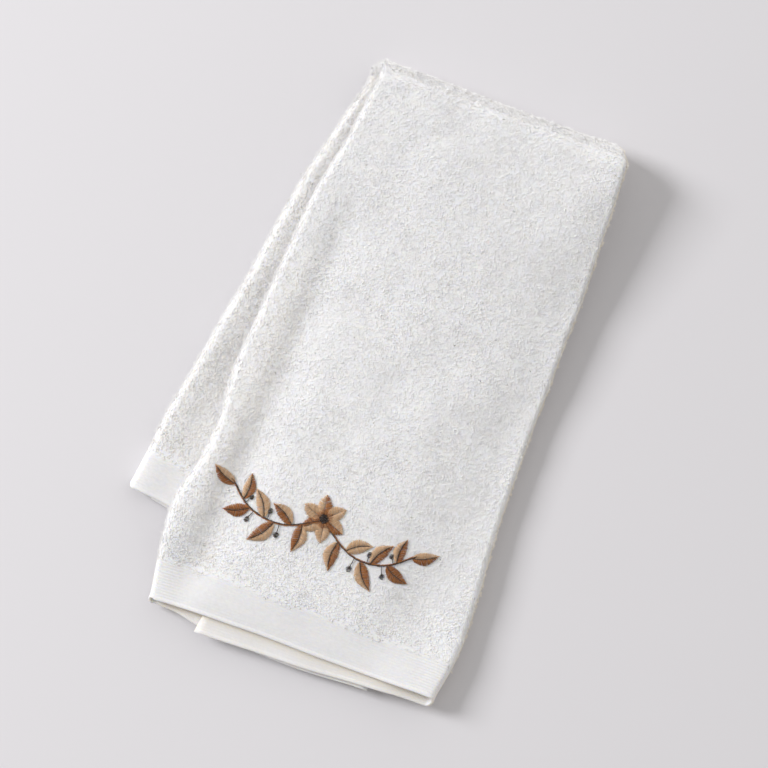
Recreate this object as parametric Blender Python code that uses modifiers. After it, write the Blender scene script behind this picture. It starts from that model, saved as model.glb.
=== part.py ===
"""Hand towel of white terry cloth, one piece, 50 x 70 cm.

It is folded in thirds along its length, so a left and a right flap lie under
the front panel, then once across. The upper half, with the panel on top, comes
to rest over the lower half, which lies askew under it and shows at the left.
Metres, +Z up. The crosswise fold is at +Y and the two hems are towards -Y.
"""

import math

import bmesh
import bpy
import numpy as np

# Cloth as woven, and the layers as they lie.
CLOTH_WIDTH = 0.495  # at the hem bands
CLOTH_LENGTH = 0.703
DRAWN_IN = 0.020  # washed terry is this much narrower than its flat-woven hem bands
DRAWN_IN_LENGTH = 0.110
THICKNESS = 0.0025  # terry, pile included, as it lies pressed in the stack
HEM_THICKNESS = 0.0018  # flat-woven band at each end, no pile
HEM_BAND = 0.022
HEM_BLEND = 0.004
PITCH = 0.0031  # layer to layer
HEM_PITCH = 0.0028
HEM_CLOSE = 0.010  # the layers close up on each other this far inside their hem bands
HALVES_PITCH = 0.0038  # upper half on lower half

# Crosswise fold: its axis, and the radius of its innermost layer.
TURN_Y = 0.1777
TURN_RADIUS = 0.0068
TURN_AT = 0.3734  # length of cloth from the upper hem to the middle of the fold
TURN_PINCH = 0.0045  # the fold's right corner is drawn in and rounded
TURN_PINCH_REACH = 0.030
SETTLE = 0.160  # the halves close on each other over this length

# The panel steps down off a flap's free edge over a ramp.
EDGE_CLEAR = 0.0022
EDGE_RAMP = 0.0260
FLAP_RAMP = 0.0360  # the same past the left flap's edge, under the right flap
BARE_GAP = 0.0042  # panel over the left flap where the right flap doesn't reach
LOWER_BARE_GAP = 0.0056  # the same in the lower half, left flap over panel
ROLL_FADE = 0.0200  # a roll flattens into its panel over this length, but for the front panel's right one

# Upper half, by place along y. left_top is how wide the left roll's top is, right_fade the length over which the
# right roll flattens into the panel, and right_lift how high over the table its lowest layer stays where it has
# come down past the lower half.
FRONT_COLUMNS = ("y", "left", "right", "left_roll", "right_roll", "left_share", "left_top", "right_fade", "right_lift")
FRONT_SECTIONS = (
    (0.1788, -0.0722, 0.0946, 0.0031, 0.0025, 0.500, 0.0040, 0.0450, 0.0094),
    (0.1580, -0.0748, 0.0954, 0.0031, 0.0024, 0.499, 0.0050, 0.0450, 0.0090),
    (0.1360, -0.0774, 0.0961, 0.0032, 0.0024, 0.499, 0.0065, 0.0400, 0.0083),
    (0.1140, -0.0810, 0.0976, 0.0034, 0.0024, 0.502, 0.0080, 0.0340, 0.0072),
    (0.0920, -0.0846, 0.0986, 0.0036, 0.0024, 0.508, 0.0090, 0.0320, 0.0068),
    (0.0600, -0.0872, 0.0979, 0.0037, 0.0025, 0.515, 0.0095, 0.0320, 0.0068),
    (0.0200, -0.0899, 0.0988, 0.0038, 0.0026, 0.517, 0.0090, 0.0360, 0.0063),
    (-0.0250, -0.0918, 0.0996, 0.0039, 0.0029, 0.518, 0.0085, 0.0400, 0.0051),
    (-0.0600, -0.0893, 0.1008, 0.0042, 0.0033, 0.515, 0.0035, 0.0440, 0.0040),
    (-0.0880, -0.0922, 0.1024, 0.0045, 0.0036, 0.508, 0.0030, 0.0460, 0.0037),
    (-0.1120, -0.0976, 0.1042, 0.0046, 0.0037, 0.500, 0.0070, 0.0460, 0.0038),
    (-0.1350, -0.0966, 0.1053, 0.0041, 0.0037, 0.494, 0.0060, 0.0460, 0.0044),
    (-0.1530, -0.0938, 0.1042, 0.0032, 0.0037, 0.491, 0.0040, 0.0440, 0.0058),
    (-0.1760, -0.0900, 0.1008, 0.0028, 0.0037, 0.490, 0.0020, 0.0400, 0.0072),
    (-0.1960, -0.0885, 0.0996, 0.0028, 0.0037, 0.490, 0.0020, 0.0380, 0.0072),
)

# Lower half, along its middle line from the crosswise fold to its hem.
# turn: how far the line has swung to the left, in degrees.
BACK_START_X = 0.0045
BACK_COLUMNS = ("along", "turn", "left", "right", "left_roll", "right_roll", "left_share")
BACK_SECTIONS = (
    (0.000, 0.0, 0.0840, 0.0838, 0.0040, 0.0023, 0.502),
    (0.040, 10.8, 0.0872, 0.0832, 0.0043, 0.0021, 0.494),
    (0.080, 10.6, 0.0878, 0.0832, 0.0045, 0.0021, 0.488),
    (0.130, 9.4, 0.0872, 0.0850, 0.0046, 0.0021, 0.486),
    (0.190, 9.3, 0.0862, 0.0886, 0.0046, 0.0021, 0.486),
    (0.250, 9.4, 0.0862, 0.0922, 0.0045, 0.0021, 0.488),
    (0.300, 10.2, 0.0836, 0.0940, 0.0038, 0.0021, 0.490),
    (0.330, 11.0, 0.0822, 0.0945, 0.0034, 0.0021, 0.490),
)

# How far each layer's hem lies past its even line, by reach in from its rolled edge.
HEM_COLUMNS = ("reach", "panel_left", "panel_right", "left_flap", "right_flap")
UPPER_HEM = (
    (0.000, 0.0030, 0.0000, -0.0060, -0.0016),
    (0.015, 0.0019, 0.0000, -0.0042, -0.0002),
    (0.030, 0.0009, 0.0000, -0.0012, 0.0014),
    (0.050, 0.0003, 0.0000, 0.0006, 0.0030),
    (0.080, 0.0000, 0.0000, 0.0020, 0.0050),
    (0.115, 0.0000, 0.0000, 0.0012, 0.0066),
    (0.155, 0.0000, 0.0000, -0.0014, 0.0082),
)
LOWER_HEM = (
    (0.000, 0.0000, 0.0000, -0.0060, 0.0000),
    (0.030, 0.0000, 0.0000, -0.0062, 0.0000),
    (0.070, 0.0000, 0.0000, -0.0020, 0.0000),
    (0.155, 0.0000, 0.0000, 0.0000, 0.0000),
)
HEM_SHIFT = 0.30  # share of a half's length over which its layers slide apart to their hems

# The upper half comes down past the lower half's left flap, right edge and hem.
DROP_FLAP = 0.0018
DROP_FLAP_RAMP = 0.040
DROP_RIGHT_START = -0.010
DROP_RIGHT_EARLY = 0.018  # towards the crosswise fold it starts this much earlier
DROP_HEM_START = -0.004
DROP_HEM_LENGTH = 0.052
DROP_HEM_SHARE = 0.50  # it stays up by the rest of its height, stiff enough to stand clear of the table there
DROP_HEM_SLANT = 0.50  # share of the lower hem's slant that the line where it comes down has
DROP_HEM_AT = 0.058

# Soft swellings of the whole upper half: where, how wide, how high.
SWELLS = (  # x, y, width, length, height
    (-0.004, 0.000, 0.046, 0.150, 0.0012),
    (0.030, 0.105, 0.045, 0.060, 0.0006),
    (-0.010, 0.000, 0.040, 0.070, 0.0006),
    (-0.045, -0.110, 0.030, 0.026, 0.0007),
    (0.015, -0.150, 0.050, 0.018, 0.0006),
)

# Middle of the folded towel's outline, which becomes the origin.
OUTLINE_MIDDLE = (-0.0115, 0.0020)

# Cells of the flat cloth across each part.
CELLS_ACROSS = (("left_flap", 13), ("left_roll", 6), ("panel", 18), ("right_roll", 6), ("right_flap", 13))
# Cells along it: upper half from its hem up, crosswise fold, lower half down to its hem.
UPPER_ROWS = (("hem", 0.022, 2), ("hem_edge", 0.006, 1), ("drop", 0.088, 9), ("middle", 0.162, 7), ("settle", 0.075, 5))
TURN_ROWS = 7
LOWER_ROWS = (("swing", 0.090, 4), ("middle", 0.190, 4), ("hem_edge", 0.006, 1), ("hem", 0.022, 2))


def ease(x):
    x = np.clip(x, 0.0, 1.0)
    return x * x * (3.0 - 2.0 * x)


def column(columns, rows, name, at):
    """The named column's value at a place along its rows, on a smooth curve through them."""
    data = np.array(rows, float)
    if data[0, 0] > data[-1, 0]:
        data = data[::-1]
    x, y = data[:, 0], data[:, columns.index(name)]
    slope = np.gradient(y, x)
    at = np.clip(at, x[0], x[-1])
    i = np.clip(np.searchsorted(x, at) - 1, 0, len(x) - 2)
    step = x[i + 1] - x[i]
    t = (at - x[i]) / step
    return (
        y[i] * (2 * t**3 - 3 * t**2 + 1)
        + slope[i] * step * (t**3 - 2 * t**2 + t)
        + y[i + 1] * (3 * t**2 - 2 * t**3)
        + slope[i + 1] * step * (t**3 - t**2)
    )


def cloth_width(from_hem):
    return CLOTH_WIDTH - DRAWN_IN * ease((from_hem - HEM_BAND) / DRAWN_IN_LENGTH)


def middle_line():
    """Points of the lower half's middle line: distance along, x, y."""
    along = np.linspace(0.0, 0.34, 341)
    turn = np.radians(column(BACK_COLUMNS, BACK_SECTIONS, "turn", along))
    step = along[1] - along[0]
    x = BACK_START_X - np.concatenate([[0.0], np.cumsum(np.sin(turn[:-1] + 0.5 * np.diff(turn)) * step)])
    y = TURN_Y - np.concatenate([[0.0], np.cumsum(np.cos(turn[:-1] + 0.5 * np.diff(turn)) * step)])
    return along, x, y


def across(part, f, width, left, right, left_roll, right_roll, left_share, left_top, right_fade, pitch, upper):
    """Across the folded strip, for a fraction f of one part of the cloth: its place, its height over the
    lowest layer, and its reach in from the left and from the right roll."""
    left_axis = left + THICKNESS / 2 + left_roll
    right_axis = right - THICKNESS / 2 - right_roll
    flaps = width - (right_axis - left_axis) - math.pi * (left_roll + right_roll)
    left_flap, right_flap = flaps * left_share, flaps * (1 - left_share)
    left_edge, right_edge = left_axis + left_flap, right_axis - right_flap

    def over_left_flap(x):
        return 1 - ease((x - left_edge - EDGE_CLEAR) / FLAP_RAMP)

    def over_right_flap(x):
        return ease((x - right_edge + EDGE_CLEAR + EDGE_RAMP) / EDGE_RAMP)

    def near_left_roll(x):
        return 1 - ease((x - left_axis - left_top) / ROLL_FADE)

    def near_right_roll(x):
        return 1 - ease((right_axis - x) / right_fade)

    if upper:  # left flap lowest, right flap on it, panel on top

        def left_height(x):
            return 0.0 * x

        def right_height(x):
            return pitch * over_left_flap(x)

        def panel_height(x):
            here = over_right_flap(x)
            plain = right_height(x) + pitch * here + (BARE_GAP - pitch) * (1 - here)
            high = plain + (2 * left_roll - plain) * near_left_roll(x)
            return high + (right_height(x) + 2 * right_roll - plain) * near_right_roll(x)

    else:  # panel lowest, right flap on it, left flap on top

        def panel_height(x):
            return 0.0 * x

        def right_height(x):
            return pitch + (2 * right_roll - pitch) * near_right_roll(x)

        def left_height(x):
            here = over_right_flap(x)
            plain = (right_height(x) + pitch) * here + LOWER_BARE_GAP * (1 - here)
            return plain + (2 * left_roll - plain) * near_left_roll(x)

    x = np.select(
        [part == 0, part == 1, part == 2, part == 3],
        [
            left_axis + (1 - f) * left_flap,
            left_axis - left_roll * np.sin(math.pi * f),
            left_axis + f * (right_axis - left_axis),
            right_axis + right_roll * np.sin(math.pi * f),
        ],
        right_axis - f * right_flap,
    )
    turned = np.cos(math.pi * f)
    side = 1 if upper else -1
    high = np.select(
        [part == 0, part == 1, part == 2, part == 3],
        [
            left_height(x),
            left_roll * (1 - side * turned),
            panel_height(x),
            (right_height(right_axis) if upper else 0.0) + right_roll * (1 + side * turned),
        ],
        right_height(x),
    )
    return x, high, np.maximum(x - left_axis, 0.0), np.maximum(right_axis - x, 0.0)


def hem_line(rows, part, f, from_left, from_right):
    """How far this thread's end lies past the even line of its layer's hem."""

    def at(name, reach):
        return column(HEM_COLUMNS, rows, name, reach)

    left_flap, right_flap = at("left_flap", from_left), at("right_flap", from_right)
    panel = at("panel_left", from_left) + at("panel_right", from_right)
    return np.select(
        [part == 0, part == 1, part == 2, part == 3],
        [left_flap, left_flap + (panel - left_flap) * f, panel, panel + (right_flap - panel) * f],
        right_flap,
    )


def upper_half(part, f, g, radius, sizes):
    """g runs from the hem, 0, to the crosswise fold, 1."""
    straight = TURN_AT - math.pi / 2 * (TURN_RADIUS + 2 * PITCH)
    _, _, from_left, from_right = sizes
    past = math.pi / 2 * (TURN_RADIUS + 2 * PITCH - radius) + hem_line(UPPER_HEM, part, f, from_left, from_right)
    end = CLOTH_LENGTH - TURN_AT - math.pi / 2 * (TURN_RADIUS + 2 * PITCH)  # of the lower half
    shift = 1 - ease(g / HEM_SHIFT)
    y = TURN_Y - straight * (1 - g) - past * shift
    from_hem = straight * g + past * (1 - shift)
    hem = 1 - ease((from_hem - HEM_BAND) / HEM_BLEND)
    close_up = 1 - ease((y - TURN_Y + straight) / HEM_CLOSE)
    *here, right_lift = (column(FRONT_COLUMNS, FRONT_SECTIONS, name, y) for name in FRONT_COLUMNS[1:])
    x, high, _, _ = across(part, f, cloth_width(from_hem), *here, PITCH + (HEM_PITCH - PITCH) * close_up, True)

    # The lower half's left flap, right edge and hem, which it comes down past.
    along, line_x, line_y = middle_line()
    turn, lower_left, lower_right, left_roll, right_roll, left_share = (
        column(BACK_COLUMNS, BACK_SECTIONS, name, along) for name in BACK_COLUMNS[1:]
    )
    turned = np.radians(turn)

    def line_at(reach):
        edge_x, edge_y = line_x + reach * np.cos(turned), line_y - reach * np.sin(turned)
        return np.interp(y, edge_y[::-1], edge_x[::-1])

    lower_axis = left_roll + THICKNESS / 2 - lower_left
    flaps = cloth_width(end - along) - (lower_right - THICKNESS / 2 - right_roll - lower_axis)
    flaps = flaps - math.pi * (left_roll + right_roll)
    flap_from = line_at(lower_axis + flaps * left_share) + EDGE_CLEAR
    drop_from = line_at(lower_right) + DROP_RIGHT_START - DROP_RIGHT_EARLY * ease((y - 0.03) / 0.06)
    right_axis = here[1] - THICKNESS / 2 - here[3]
    past_flap = ease((x - flap_from) / DROP_FLAP_RAMP)
    dropped = ease((x - drop_from) / (right_axis - drop_from))
    end_x, end_y, end_turn = (np.interp(end, along, line) for line in (line_x, line_y, turned))
    slope = math.tan(end_turn)
    down_from = end_y - (DROP_HEM_AT - end_x) * slope - (x - DROP_HEM_AT) * slope * DROP_HEM_SLANT
    over_hem = 1 - DROP_HEM_SHARE * ease((down_from - DROP_HEM_START - y) / DROP_HEM_LENGTH)

    close = ease((TURN_Y - y) / SETTLE)
    lift = 2 * PITCH + HALVES_PITCH
    turn_lift = 2 * (TURN_RADIUS + PITCH)
    ground = THICKNESS / 2 - (THICKNESS - HEM_THICKNESS) / 2 * hem
    over_lower = (lift - DROP_FLAP * past_flap) * over_hem
    rest = ground + over_lower * (1 - dropped) + right_lift * dropped + (turn_lift - lift) * (1 - close)
    swell = sum(
        height * np.exp(-(((x - at_x) / width) ** 2) - ((y - at_y) / length) ** 2)
        for at_x, at_y, width, length, height in SWELLS
    )
    swell = swell * ease((TURN_Y - y) / 0.03) * ease(from_hem / 0.03)
    return x, y, rest + high + swell * np.minimum(1.0, 0.25 + high / (2 * PITCH)), hem


def crosswise_fold(part, f, g, upper, lower):
    """g runs from the upper half, 0, to the lower half, 1."""
    stack = 2 * PITCH
    angle = math.pi * (0.5 - g)
    blend = 1 - ease(g)
    radius = TURN_RADIUS + blend * upper[1] + (1 - blend) * (stack - lower[1])
    x = blend * upper[0] + (1 - blend) * lower[0]
    pinch_from = FRONT_SECTIONS[0][2] - TURN_PINCH_REACH
    x = x - TURN_PINCH * np.cos(angle) ** 2 * ease((x - pinch_from) / TURN_PINCH_REACH)
    y = TURN_Y + radius * np.cos(angle)
    z = TURN_RADIUS + stack + THICKNESS / 2 + radius * np.sin(angle)
    return x, y, z, 0.0 * x


def lower_half(part, f, g, radius, sizes):
    """g runs from the crosswise fold, 0, to the hem, 1."""
    straight = CLOTH_LENGTH - TURN_AT - math.pi / 2 * (TURN_RADIUS + 2 * PITCH)
    _, _, from_left, from_right = sizes
    past = math.pi / 2 * (TURN_RADIUS + 2 * PITCH - radius) + hem_line(LOWER_HEM, part, f, from_left, from_right)
    shift = ease((g - 1 + HEM_SHIFT) / HEM_SHIFT)
    down = straight * g + past * shift
    hem = 1 - ease((straight * (1 - g) + past * (1 - shift) - HEM_BAND) / HEM_BLEND)
    turn, left, right, left_roll, right_roll, left_share = (
        column(BACK_COLUMNS, BACK_SECTIONS, name, down) for name in BACK_COLUMNS[1:]
    )
    pitch = PITCH + (HEM_PITCH - PITCH) * (1 - ease((straight - down) / HEM_CLOSE))
    width = cloth_width(straight - down)
    x, high, _, _ = across(part, f, width, -left, right, left_roll, right_roll, left_share, 0.0, ROLL_FADE, pitch, False)
    along, line_x, line_y = middle_line()
    turned = np.radians(turn)
    return (
        np.interp(down, along, line_x) + x * np.cos(turned),
        np.interp(down, along, line_y) - x * np.sin(turned),
        THICKNESS / 2 - (THICKNESS - HEM_THICKNESS) / 2 * hem + high,
        hem,
    )


def fold(part, f, stage, g):
    """Folds the cloth. part and f say where across it, from the left flap's free edge to the right flap's;
    stage and g where along it, from the upper hem to the lower. Gives the points and where they are hem."""
    sizes = [column(FRONT_COLUMNS, FRONT_SECTIONS, name, np.full_like(f, TURN_Y)) for name in FRONT_COLUMNS[1:-1]]
    body = CLOTH_WIDTH - DRAWN_IN
    upper = across(part, f, body, *sizes, PITCH, True)
    left, right, *rest = (
        column(BACK_COLUMNS, BACK_SECTIONS, name, np.zeros_like(f)) for name in BACK_COLUMNS[2:]
    )
    lower = across(part, f, body, BACK_START_X - left, BACK_START_X + right, *rest, 0.0, ROLL_FADE, PITCH, False)
    radius = TURN_RADIUS + 0.5 * (upper[1] + 2 * PITCH - lower[1])
    stages = (
        upper_half(part, f, g, radius, upper),
        crosswise_fold(part, f, g, upper, lower),
        lower_half(part, f, g, radius, lower),
    )
    x, y, z, hem = (np.select([stage == 0, stage == 1], [stages[0][i], stages[1][i]], stages[2][i]) for i in range(4))
    return np.stack([x - OUTLINE_MIDDLE[0], y - OUTLINE_MIDDLE[1], z], axis=-1), hem


def lines_across():
    """Grid lines across the cloth as (part, fraction), closer near the rolls and the free edges."""
    lines = []
    for part, (name, count) in enumerate(CELLS_ACROSS):
        for k in range(count):
            f = k / count
            if "roll" not in name:
                f = f - 0.05 * math.sin(2 * math.pi * f)
            lines.append((part, f))
    return lines + [(len(CELLS_ACROSS) - 1, 1.0)]


def lines_along():
    """Grid lines along the cloth as (stage, fraction)."""
    lines = []
    for stage, rows in ((0, UPPER_ROWS), (2, LOWER_ROWS)):
        if stage == 2:
            lines += [(1, k / TURN_ROWS) for k in range(TURN_ROWS)]
        whole = sum(length for _, length, _ in rows)
        start = 0.0
        for _, length, count in rows:
            lines += [(stage, (start + length * k / count) / whole) for k in range(count)]
            start += length
    return lines + [(2, 1.0)]


def clear():
    for thing in list(bpy.data.objects):
        bpy.data.objects.remove(thing, do_unlink=True)


def terry_material():
    material = bpy.data.materials.new("terry")
    material.use_nodes = True
    shader = material.node_tree.nodes["Principled BSDF"]
    shader.inputs["Base Color"].default_value = (0.83, 0.82, 0.80, 1.0)
    shader.inputs["Roughness"].default_value = 0.95
    shader.inputs["Metallic"].default_value = 0.0
    return material


def build():
    clear()
    collection = bpy.data.collections.new("hand_towel")
    bpy.context.scene.collection.children.link(collection)

    across_lines = lines_across()
    along_lines = lines_along()
    columns, rows = len(across_lines), len(along_lines)

    # The cloth as woven: a flat sheet in a grid, hem to hem.
    cloth = bmesh.new()
    bmesh.ops.create_grid(cloth, x_segments=columns - 1, y_segments=rows - 1, size=0.5)
    cloth.verts.ensure_lookup_table()
    flat = np.array([vert.co[:2] for vert in cloth.verts]) + 0.5
    column_of = np.rint(flat[:, 0] * (columns - 1)).astype(int)
    row_of = np.rint(flat[:, 1] * (rows - 1)).astype(int)
    across_at = np.array(across_lines)[column_of]
    along_at = np.array(along_lines)[row_of]

    # Folded in thirds and once across.
    folded, hem = fold(across_at[:, 0], across_at[:, 1], along_at[:, 0], along_at[:, 1])
    for vert, point in zip(cloth.verts, folded):
        vert.co = point
    bmesh.ops.recalc_face_normals(cloth, faces=cloth.faces)
    mesh = bpy.data.meshes.new("towel")
    cloth.to_mesh(mesh)
    cloth.free()
    mesh.shade_smooth()

    towel = bpy.data.objects.new("towel", mesh)
    collection.objects.link(towel)
    terry = towel.vertex_groups.new(name="terry")
    for index, weight in enumerate(1 - hem):
        terry.add([index], float(weight), "REPLACE")
    thick = towel.modifiers.new("thickness", "SOLIDIFY")
    thick.thickness = THICKNESS
    thick.offset = 0.0
    thick.use_even_offset = False
    thick.use_quality_normals = True
    thick.use_rim = True
    thick.vertex_group = "terry"
    thick.thickness_vertex_group = HEM_THICKNESS / THICKNESS
    mesh.materials.append(terry_material())


build()
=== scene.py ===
"""The looks of a folded white terry hand towel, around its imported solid.

The cloth is one sheet, folded in thirds along its length and once across, with a
flat-woven ribbed hem band at each end. Its pile is small yarn loops of real
geometry, and a sprig is embroidered in satin stitch at the lower end of the front.
Metres, +Z up.
"""

import math

import bpy
import numpy as np
from mathutils import Matrix, Vector
from mathutils.bvhtree import BVHTree


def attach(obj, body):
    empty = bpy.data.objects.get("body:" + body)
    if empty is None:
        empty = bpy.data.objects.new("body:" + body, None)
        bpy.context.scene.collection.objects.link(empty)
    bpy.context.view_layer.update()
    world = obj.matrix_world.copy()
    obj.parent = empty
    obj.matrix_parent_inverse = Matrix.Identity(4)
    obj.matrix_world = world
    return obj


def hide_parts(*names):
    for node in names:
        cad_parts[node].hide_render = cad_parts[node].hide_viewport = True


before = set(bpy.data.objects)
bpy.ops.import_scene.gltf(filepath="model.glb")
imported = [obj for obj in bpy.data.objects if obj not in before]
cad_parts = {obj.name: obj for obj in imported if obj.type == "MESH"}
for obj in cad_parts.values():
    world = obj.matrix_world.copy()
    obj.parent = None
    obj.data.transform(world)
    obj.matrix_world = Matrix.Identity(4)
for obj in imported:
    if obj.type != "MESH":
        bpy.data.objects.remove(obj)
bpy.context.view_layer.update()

# ---------------------------------------------------------------- the fold, as in the solid

# Cloth as woven, and the layers as they lie.
CLOTH_WIDTH = 0.495  # at the hem bands
CLOTH_LENGTH = 0.703
DRAWN_IN = 0.020  # washed terry is this much narrower than its flat-woven hem bands
DRAWN_IN_LENGTH = 0.110
THICKNESS = 0.0025  # terry, pile included, as it lies pressed in the stack
HEM_THICKNESS = 0.0018  # flat-woven band at each end, no pile
HEM_BAND = 0.022
HEM_BLEND = 0.004
PITCH = 0.0031  # layer to layer
HEM_PITCH = 0.0028
HEM_CLOSE = 0.010  # the layers close up on each other this far inside their hem bands
HALVES_PITCH = 0.0038  # upper half on lower half

# Crosswise fold: its axis, and the radius of its innermost layer.
TURN_Y = 0.1777
TURN_RADIUS = 0.0068
TURN_AT = 0.3734  # length of cloth from the upper hem to the middle of the fold
TURN_PINCH = 0.0045  # the fold's right corner is drawn in and rounded
TURN_PINCH_REACH = 0.030
SETTLE = 0.160  # the halves close on each other over this length

# The panel steps down off a flap's free edge over a ramp.
EDGE_CLEAR = 0.0022
EDGE_RAMP = 0.0260
FLAP_RAMP = 0.0360  # the same past the left flap's edge, under the right flap
BARE_GAP = 0.0042  # panel over the left flap where the right flap doesn't reach
LOWER_BARE_GAP = 0.0056  # the same in the lower half, left flap over panel
ROLL_FADE = 0.0200  # a roll flattens into its panel over this length, but for the front panel's right one

# Upper half, by place along y. left_top is how wide the left roll's top is, right_fade the length over which the
# right roll flattens into the panel, and right_lift how high over the table its lowest layer stays where it has
# come down past the lower half.
FRONT_COLUMNS = ("y", "left", "right", "left_roll", "right_roll", "left_share", "left_top", "right_fade", "right_lift")
FRONT_SECTIONS = (
    (0.1788, -0.0722, 0.0946, 0.0031, 0.0025, 0.500, 0.0040, 0.0450, 0.0094),
    (0.1580, -0.0748, 0.0954, 0.0031, 0.0024, 0.499, 0.0050, 0.0450, 0.0090),
    (0.1360, -0.0774, 0.0961, 0.0032, 0.0024, 0.499, 0.0065, 0.0400, 0.0083),
    (0.1140, -0.0810, 0.0976, 0.0034, 0.0024, 0.502, 0.0080, 0.0340, 0.0072),
    (0.0920, -0.0846, 0.0986, 0.0036, 0.0024, 0.508, 0.0090, 0.0320, 0.0068),
    (0.0600, -0.0872, 0.0979, 0.0037, 0.0025, 0.515, 0.0095, 0.0320, 0.0068),
    (0.0200, -0.0899, 0.0988, 0.0038, 0.0026, 0.517, 0.0090, 0.0360, 0.0063),
    (-0.0250, -0.0918, 0.0996, 0.0039, 0.0029, 0.518, 0.0085, 0.0400, 0.0051),
    (-0.0600, -0.0893, 0.1008, 0.0042, 0.0033, 0.515, 0.0035, 0.0440, 0.0040),
    (-0.0880, -0.0922, 0.1024, 0.0045, 0.0036, 0.508, 0.0030, 0.0460, 0.0037),
    (-0.1120, -0.0976, 0.1042, 0.0046, 0.0037, 0.500, 0.0070, 0.0460, 0.0038),
    (-0.1350, -0.0966, 0.1053, 0.0041, 0.0037, 0.494, 0.0060, 0.0460, 0.0044),
    (-0.1530, -0.0938, 0.1042, 0.0032, 0.0037, 0.491, 0.0040, 0.0440, 0.0058),
    (-0.1760, -0.0900, 0.1008, 0.0028, 0.0037, 0.490, 0.0020, 0.0400, 0.0072),
    (-0.1960, -0.0885, 0.0996, 0.0028, 0.0037, 0.490, 0.0020, 0.0380, 0.0072),
)

# Lower half, along its middle line from the crosswise fold to its hem.
# turn: how far the line has swung to the left, in degrees.
BACK_START_X = 0.0045
BACK_COLUMNS = ("along", "turn", "left", "right", "left_roll", "right_roll", "left_share")
BACK_SECTIONS = (
    (0.000, 0.0, 0.0840, 0.0838, 0.0040, 0.0023, 0.502),
    (0.040, 10.8, 0.0872, 0.0832, 0.0043, 0.0021, 0.494),
    (0.080, 10.6, 0.0878, 0.0832, 0.0045, 0.0021, 0.488),
    (0.130, 9.4, 0.0872, 0.0850, 0.0046, 0.0021, 0.486),
    (0.190, 9.3, 0.0862, 0.0886, 0.0046, 0.0021, 0.486),
    (0.250, 9.4, 0.0862, 0.0922, 0.0045, 0.0021, 0.488),
    (0.300, 10.2, 0.0836, 0.0940, 0.0038, 0.0021, 0.490),
    (0.330, 11.0, 0.0822, 0.0945, 0.0034, 0.0021, 0.490),
)

# How far each layer's hem lies past its even line, by reach in from its rolled edge.
HEM_COLUMNS = ("reach", "panel_left", "panel_right", "left_flap", "right_flap")
UPPER_HEM = (
    (0.000, 0.0030, 0.0000, -0.0060, -0.0016),
    (0.015, 0.0019, 0.0000, -0.0042, -0.0002),
    (0.030, 0.0009, 0.0000, -0.0012, 0.0014),
    (0.050, 0.0003, 0.0000, 0.0006, 0.0030),
    (0.080, 0.0000, 0.0000, 0.0020, 0.0050),
    (0.115, 0.0000, 0.0000, 0.0012, 0.0066),
    (0.155, 0.0000, 0.0000, -0.0014, 0.0082),
)
LOWER_HEM = (
    (0.000, 0.0000, 0.0000, -0.0060, 0.0000),
    (0.030, 0.0000, 0.0000, -0.0062, 0.0000),
    (0.070, 0.0000, 0.0000, -0.0020, 0.0000),
    (0.155, 0.0000, 0.0000, 0.0000, 0.0000),
)
HEM_SHIFT = 0.30  # share of a half's length over which its layers slide apart to their hems

# The upper half comes down past the lower half's left flap, right edge and hem.
DROP_FLAP = 0.0018
DROP_FLAP_RAMP = 0.040
DROP_RIGHT_START = -0.010
DROP_RIGHT_EARLY = 0.018  # towards the crosswise fold it starts this much earlier
DROP_HEM_START = -0.004
DROP_HEM_LENGTH = 0.052
DROP_HEM_SHARE = 0.50  # it stays up by the rest of its height, stiff enough to stand clear of the table there
DROP_HEM_SLANT = 0.50  # share of the lower hem's slant that the line where it comes down has
DROP_HEM_AT = 0.058

# Soft swellings of the whole upper half: where, how wide, how high.
SWELLS = (  # x, y, width, length, height
    (-0.004, 0.000, 0.046, 0.150, 0.0012),
    (0.030, 0.105, 0.045, 0.060, 0.0006),
    (-0.010, 0.000, 0.040, 0.070, 0.0006),
    (-0.045, -0.110, 0.030, 0.026, 0.0007),
    (0.015, -0.150, 0.050, 0.018, 0.0006),
)

# Middle of the folded towel's outline, which becomes the origin.
OUTLINE_MIDDLE = (-0.0115, 0.0020)


def ease(x):
    x = np.clip(x, 0.0, 1.0)
    return x * x * (3.0 - 2.0 * x)


def column(columns, rows, name, at):
    """The named column's value at a place along its rows, on a smooth curve through them."""
    data = np.array(rows, float)
    if data[0, 0] > data[-1, 0]:
        data = data[::-1]
    x, y = data[:, 0], data[:, columns.index(name)]
    slope = np.gradient(y, x)
    at = np.clip(at, x[0], x[-1])
    i = np.clip(np.searchsorted(x, at) - 1, 0, len(x) - 2)
    step = x[i + 1] - x[i]
    t = (at - x[i]) / step
    return (
        y[i] * (2 * t**3 - 3 * t**2 + 1)
        + slope[i] * step * (t**3 - 2 * t**2 + t)
        + y[i + 1] * (3 * t**2 - 2 * t**3)
        + slope[i + 1] * step * (t**3 - t**2)
    )


def cloth_width(from_hem):
    return CLOTH_WIDTH - DRAWN_IN * ease((from_hem - HEM_BAND) / DRAWN_IN_LENGTH)


def middle_line():
    """Points of the lower half's middle line: distance along, x, y."""
    along = np.linspace(0.0, 0.34, 341)
    turn = np.radians(column(BACK_COLUMNS, BACK_SECTIONS, "turn", along))
    step = along[1] - along[0]
    x = BACK_START_X - np.concatenate([[0.0], np.cumsum(np.sin(turn[:-1] + 0.5 * np.diff(turn)) * step)])
    y = TURN_Y - np.concatenate([[0.0], np.cumsum(np.cos(turn[:-1] + 0.5 * np.diff(turn)) * step)])
    return along, x, y


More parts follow.
